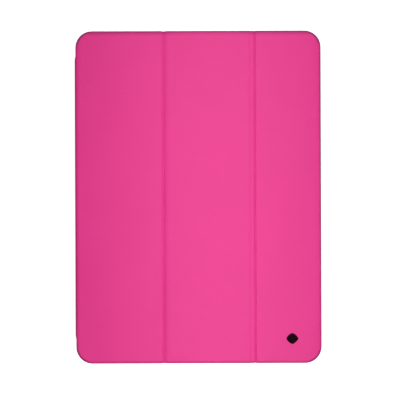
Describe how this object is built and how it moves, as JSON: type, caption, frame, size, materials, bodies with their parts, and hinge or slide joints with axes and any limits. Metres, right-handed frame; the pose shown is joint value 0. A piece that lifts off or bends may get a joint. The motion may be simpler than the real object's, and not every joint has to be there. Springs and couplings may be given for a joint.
{
  "type": "tablet case",
  "caption": "Slim folio tablet case whose stiff cover wraps round a flexible spine and folds up into a stand.",
  "frame": {"origin": "middle of the bottom of the closed case's bounding box, on the outside of the back", "axes": "+Z out of the front cover, +Y towards the case's top edge, spine at -X"},
  "size_m": [0.1874, 0.253, 0.0138],
  "materials": {
    "leather": "smooth matte coated leather",
    "lining": "brushed microfibre",
    "moulding": "fine matte moulding",
    "board": "plain greyboard",
    "magnet": "nickel plate",
    "mark": "black foil"
  },
  "bodies": {
    "root": {"tray_shell": "moulding", "tray_lining": "lining", "back_skin": "leather"},
    "spine": {"spine_skin": "leather", "spine_board": "board", "spine_lining": "lining", "back_fold_skin": "leather", "back_fold_lining": "lining"},
    "panel_1": {"panel_1_skin": "leather", "panel_1_board": "board", "panel_1_lining": "lining", "stand_magnet_top": "magnet", "stand_magnet_bottom": "magnet"},
    "fold_1": {"fold_1_skin": "leather", "fold_1_lining": "lining"},
    "panel_2": {"panel_2_skin": "leather", "panel_2_board": "board", "panel_2_lining": "lining"},
    "fold_2": {"fold_2_skin": "leather", "fold_2_lining": "lining"},
    "panel_3": {"panel_3_skin": "leather", "panel_3_board": "board", "panel_3_lining": "lining", "closure_magnet_top": "magnet", "closure_magnet_middle": "magnet", "closure_magnet_bottom": "magnet", "sleep_wake_magnet": "magnet", "lozenge_mark": "mark"}
  },
  "joints": [
    {"name": "back_hinge", "type": "hinge", "parent": "root", "child": "spine", "pos_m": [-0.0924, 0, 0], "axis": [0, -1, 0], "range_deg": [0, 179]},
    {"name": "cover_hinge", "type": "hinge", "parent": "spine", "child": "panel_1", "pos_m": [-0.0932, 0, 0.0133], "axis": [0, -1, 0], "range_deg": [0, 179]},
    {"name": "fold_1_inner", "type": "hinge", "parent": "panel_1", "child": "fold_1", "pos_m": [-0.02715, 0, 0.01135], "axis": [0, -1, 0], "range_deg": [-128, 0]},
    {"name": "fold_1_outer", "type": "hinge", "parent": "fold_1", "child": "panel_2", "pos_m": [-0.02485, 0, 0.01255], "axis": [0, -1, 0], "range_deg": [0, 125]},
    {"name": "fold_2_inner", "type": "hinge", "parent": "panel_2", "child": "fold_2", "pos_m": [0.03975, 0, 0.01135], "axis": [0, -1, 0], "range_deg": [-118, 0]},
    {"name": "fold_2_outer", "type": "hinge", "parent": "fold_2", "child": "panel_3", "pos_m": [0.04245, 0, 0.01255], "axis": [0, -1, 0], "range_deg": [0, 110]}
  ],
  "couplings": [
    {"joint": "cover_hinge", "follows": "back_hinge", "ratio": 1},
    {"joint": "fold_1_inner", "follows": "back_hinge", "ratio": -0.715},
    {"joint": "fold_2_inner", "follows": "back_hinge", "ratio": -0.6592}
  ]
}
